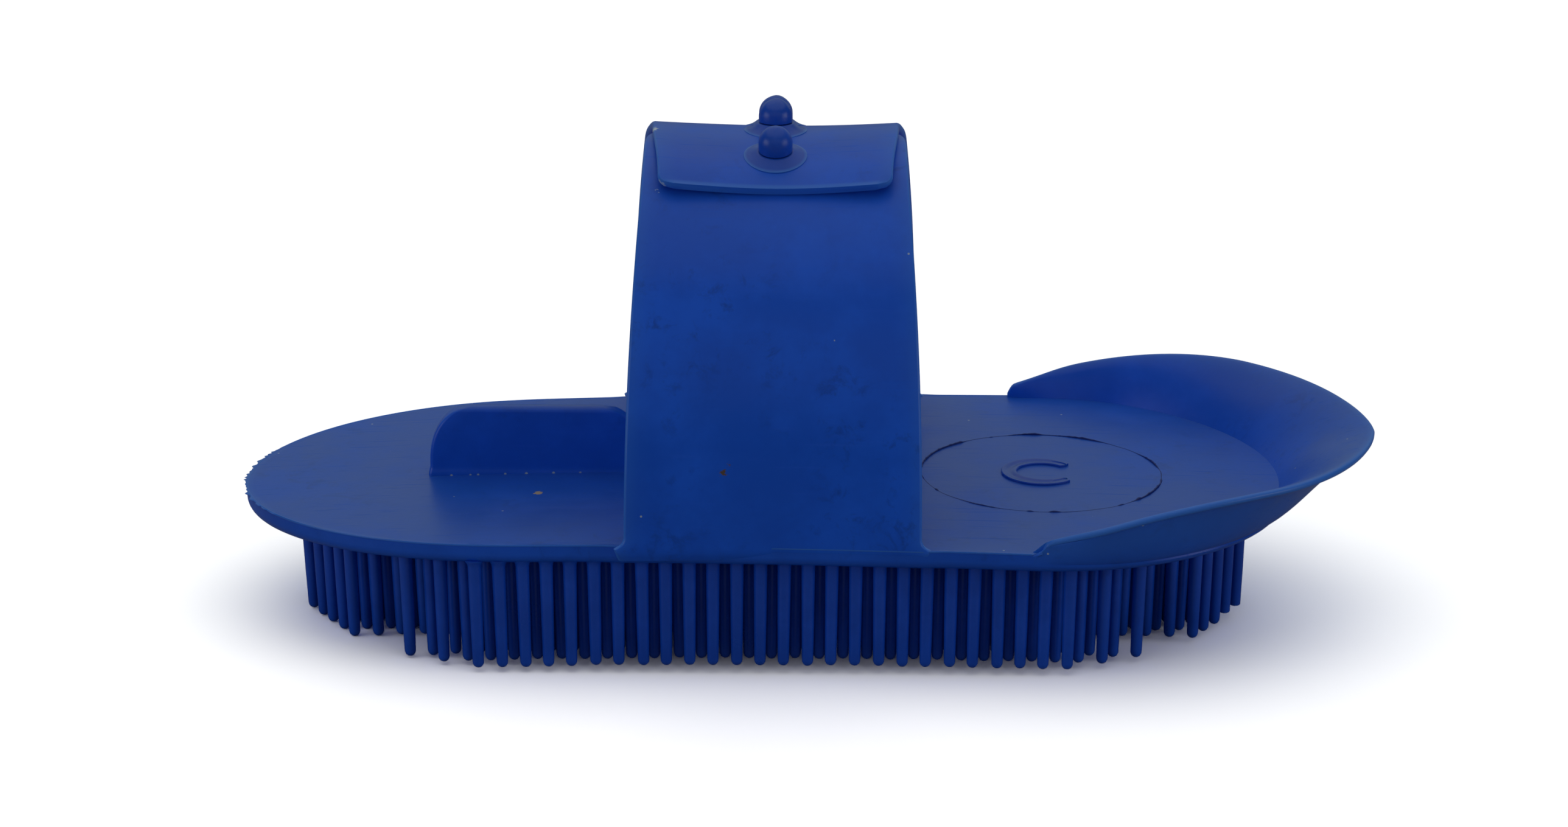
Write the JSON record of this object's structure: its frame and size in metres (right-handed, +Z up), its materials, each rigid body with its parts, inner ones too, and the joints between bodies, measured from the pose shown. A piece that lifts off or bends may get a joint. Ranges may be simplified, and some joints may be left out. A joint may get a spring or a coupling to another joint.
{
  "type": "curry comb",
  "caption": "Oval plastic curry comb with rows of blunt teeth, a flared mud scoop at one end, a finger rib and a buttoned hand strap.",
  "frame": {"origin": "under the middle of the whole comb, level with the lowest tooth tips", "axes": "+X along the comb towards the mud scoop, +Y across it from the front flap to the back flap, +Z up from the teeth to the strap"},
  "size_m": [0.2108, 0.0986, 0.0968],
  "materials": {
    "body_blue": "satin polyethylene, dusty and rubbed on the flat top faces",
    "teeth_blue": "satin polyethylene, smooth and slightly shiny",
    "strap_blue": "satin polyethylene with faint blotches and scratches",
    "stud_blue": "smooth polyethylene with a waxy shine"
  },
  "bodies": {
    "comb": {"plate": "body_blue", "scoop_rim": "body_blue", "finger_rib": "body_blue", "roundel": "body_blue", "horseshoe_mark": "body_blue", "tooth_row_front_1": "teeth_blue", "tooth_row_back_1": "teeth_blue", "tooth_row_front_2": "teeth_blue", "tooth_row_back_2": "teeth_blue", "tooth_row_front_3": "teeth_blue", "tooth_row_back_3": "teeth_blue", "tooth_row_front_4": "teeth_blue", "tooth_row_back_4": "teeth_blue", "tooth_row_front_5": "teeth_blue", "tooth_row_back_5": "teeth_blue", "tooth_row_front_6": "teeth_blue", "tooth_row_back_6": "teeth_blue", "tooth_row_front_7": "teeth_blue", "tooth_row_back_7": "teeth_blue", "tooth_row_front_8": "teeth_blue", "tooth_row_back_8": "teeth_blue", "tooth_row_front_9": "teeth_blue", "tooth_row_back_9": "teeth_blue"},
    "front_flap": {"front_strap": "strap_blue", "stud_1": "stud_blue", "stud_2": "stud_blue", "stud_3": "stud_blue"},
    "back_flap": {"back_strap": "strap_blue"},
    "tab": {"strap_tab": "strap_blue", "eyelet_collar_1": "strap_blue", "eyelet_collar_2": "strap_blue", "eyelet_collar_3": "strap_blue"}
  },
  "joints": [
    {"name": "tab_peel", "type": "hinge", "parent": "back_flap", "child": "tab", "pos_m": [0, 0.02454, 0.08276], "axis": [-1, 0, 0], "range_deg": [0, 120], "deforming": ["eyelet_collar_1", "eyelet_collar_2", "eyelet_collar_3"]},
    {"name": "front_flap_flex", "type": "hinge", "parent": "comb", "child": "front_flap", "pos_m": [0, -0.0442, 0.0264], "axis": [1, 0, 0], "range_deg": [0, 2.5]},
    {"name": "back_flap_flex", "type": "hinge", "parent": "comb", "child": "back_flap", "pos_m": [0, 0.0442, 0.0264], "axis": [-1, 0, 0], "range_deg": [0, 2.5]}
  ],
  "couplings": [
    {"joint": "front_flap_flex", "follows": "tab_peel", "ratio": 0.02},
    {"joint": "back_flap_flex", "follows": "tab_peel", "ratio": 0.02}
  ]
}
